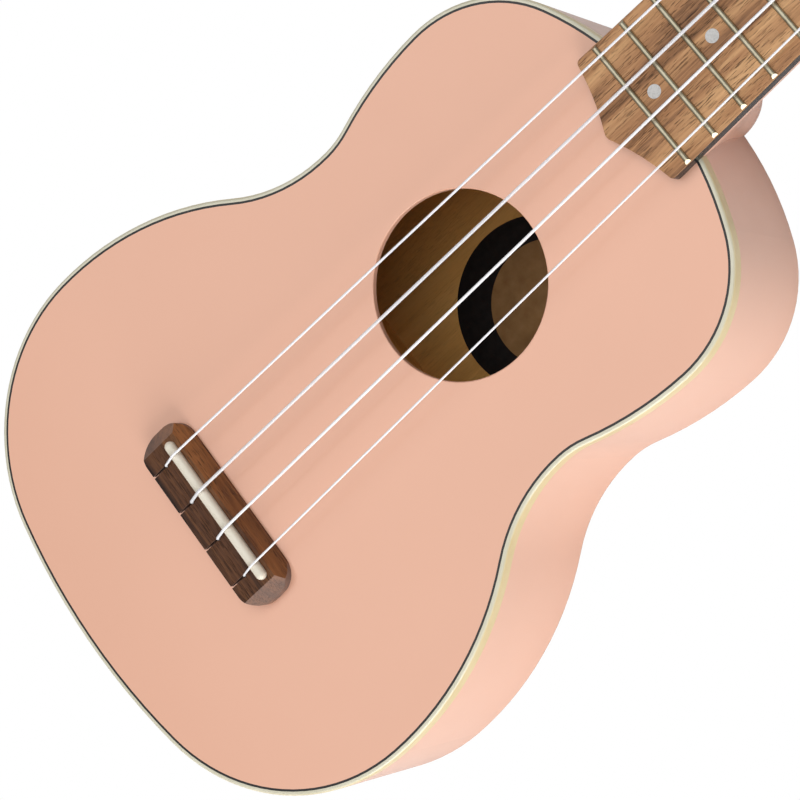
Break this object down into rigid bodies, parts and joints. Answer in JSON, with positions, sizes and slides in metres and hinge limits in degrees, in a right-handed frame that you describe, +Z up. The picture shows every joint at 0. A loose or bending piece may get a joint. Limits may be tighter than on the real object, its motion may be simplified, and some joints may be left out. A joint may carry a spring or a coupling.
{
  "type": "soprano ukulele",
  "caption": "Soprano ukulele with a painted hollow body, bound top, walnut fingerboard and bridge, nylon strings and geared tuners that turn the string posts.",
  "frame": {"origin": "on the flat back, at the middle of the body's length and width", "axes": "+Z up from the flat back through the soundboard, +Y along the neck towards the headstock, +X towards the side of the highest-pitched string"},
  "size_m": [0.182, 0.5122, 0.0658],
  "materials": {
    "top_lacquer": "satin pink lacquer over a laminated top",
    "body_lacquer": "satin pink lacquer over laminated wood",
    "binding": "cream plastic, glossy",
    "purfling": "black plastic line",
    "walnut": "oiled open grain",
    "ivory_plastic": "ivory plastic, polished",
    "fret_wire": "nickel silver, polished crowns",
    "pearl": "pearl plastic",
    "nylon": "clear nylon",
    "button": "pearl white plastic",
    "nickel": "nickel plated steel",
    "brass": "cut brass",
    "label_paper": "plain paper",
    "inner_wood": "bare sawn wood"
  },
  "bodies": {
    "root": {"back": "body_lacquer", "back_brace_lower": "inner_wood", "back_brace_upper": "inner_wood", "blank_label": "label_paper", "bridge": "walnut", "bridge_plate": "inner_wood", "fingerboard": "walnut", "fret_markers": "pearl", "frets": "fret_wire", "lining_back_left": "inner_wood", "lining_back_right": "inner_wood", "lining_top_left": "inner_wood", "lining_top_right": "inner_wood", "neck": "body_lacquer", "neck_block": "inner_wood", "neck_dowels": "inner_wood", "nut": "ivory_plastic", "purfling": "purfling", "saddle": "ivory_plastic", "side_left": "body_lacquer", "side_right": "body_lacquer", "soundboard": "top_lacquer", "soundboard_brace_lower": "inner_wood", "soundboard_brace_upper": "inner_wood", "string_a": "nylon", "string_c": "nylon", "string_e": "nylon", "string_g": "nylon", "tail_block": "inner_wood", "top_binding": "binding", "tuner_ferrules": "nickel", "tuner_plate_a": "nickel", "tuner_plate_c": "nickel", "tuner_plate_e": "nickel", "tuner_plate_g": "nickel", "tuner_plate_screws": "nickel"},
    "tuner_g": {"tuner_worm_g": "nickel", "tuner_button_g": "button"},
    "post_g": {"tuner_post_g": "nickel", "tuner_gear_g": "brass", "tuner_gear_screw_g": "nickel", "string_winding_g": "nylon"},
    "tuner_c": {"tuner_worm_c": "nickel", "tuner_button_c": "button"},
    "post_c": {"tuner_post_c": "nickel", "tuner_gear_c": "brass", "tuner_gear_screw_c": "nickel", "string_winding_c": "nylon"},
    "tuner_e": {"tuner_worm_e": "nickel", "tuner_button_e": "button"},
    "post_e": {"tuner_post_e": "nickel", "tuner_gear_e": "brass", "tuner_gear_screw_e": "nickel", "string_winding_e": "nylon"},
    "tuner_a": {"tuner_worm_a": "nickel", "tuner_button_a": "button"},
    "post_a": {"tuner_post_a": "nickel", "tuner_gear_a": "brass", "tuner_gear_screw_a": "nickel", "string_winding_a": "nylon"}
  },
  "joints": [
    {"name": "tuner_g_turn", "type": "hinge", "parent": "root", "child": "tuner_g", "pos_m": [-0.0155, 0.33101, 0.03352], "axis": [1, 0, 0], "continuous": true},
    {"name": "post_g_turn", "type": "hinge", "parent": "root", "child": "post_g", "pos_m": [-0.0155, 0.32793, 0.05064], "axis": [0, 0.2079, 0.9781], "continuous": true},
    {"name": "tuner_c_turn", "type": "hinge", "parent": "root", "child": "tuner_c", "pos_m": [-0.0155, 0.36329, 0.02666], "axis": [1, 0, 0], "continuous": true},
    {"name": "post_c_turn", "type": "hinge", "parent": "root", "child": "post_c", "pos_m": [-0.0155, 0.36021, 0.04378], "axis": [0, 0.2079, 0.9781], "continuous": true},
    {"name": "tuner_e_turn", "type": "hinge", "parent": "root", "child": "tuner_e", "pos_m": [0.0155, 0.36329, 0.02666], "axis": [1, 0, 0], "continuous": true},
    {"name": "post_e_turn", "type": "hinge", "parent": "root", "child": "post_e", "pos_m": [0.0155, 0.36021, 0.04378], "axis": [0, 0.2079, 0.9781], "continuous": true},
    {"name": "tuner_a_turn", "type": "hinge", "parent": "root", "child": "tuner_a", "pos_m": [0.0155, 0.33101, 0.03352], "axis": [1, 0, 0], "continuous": true},
    {"name": "post_a_turn", "type": "hinge", "parent": "root", "child": "post_a", "pos_m": [0.0155, 0.32793, 0.05064], "axis": [0, 0.2079, 0.9781], "continuous": true}
  ],
  "couplings": [
    {"joint": "post_g_turn", "follows": "tuner_g_turn", "ratio": 0.071429},
    {"joint": "post_c_turn", "follows": "tuner_c_turn", "ratio": 0.071429},
    {"joint": "post_e_turn", "follows": "tuner_e_turn", "ratio": 0.071429},
    {"joint": "post_a_turn", "follows": "tuner_a_turn", "ratio": 0.071429}
  ]
}
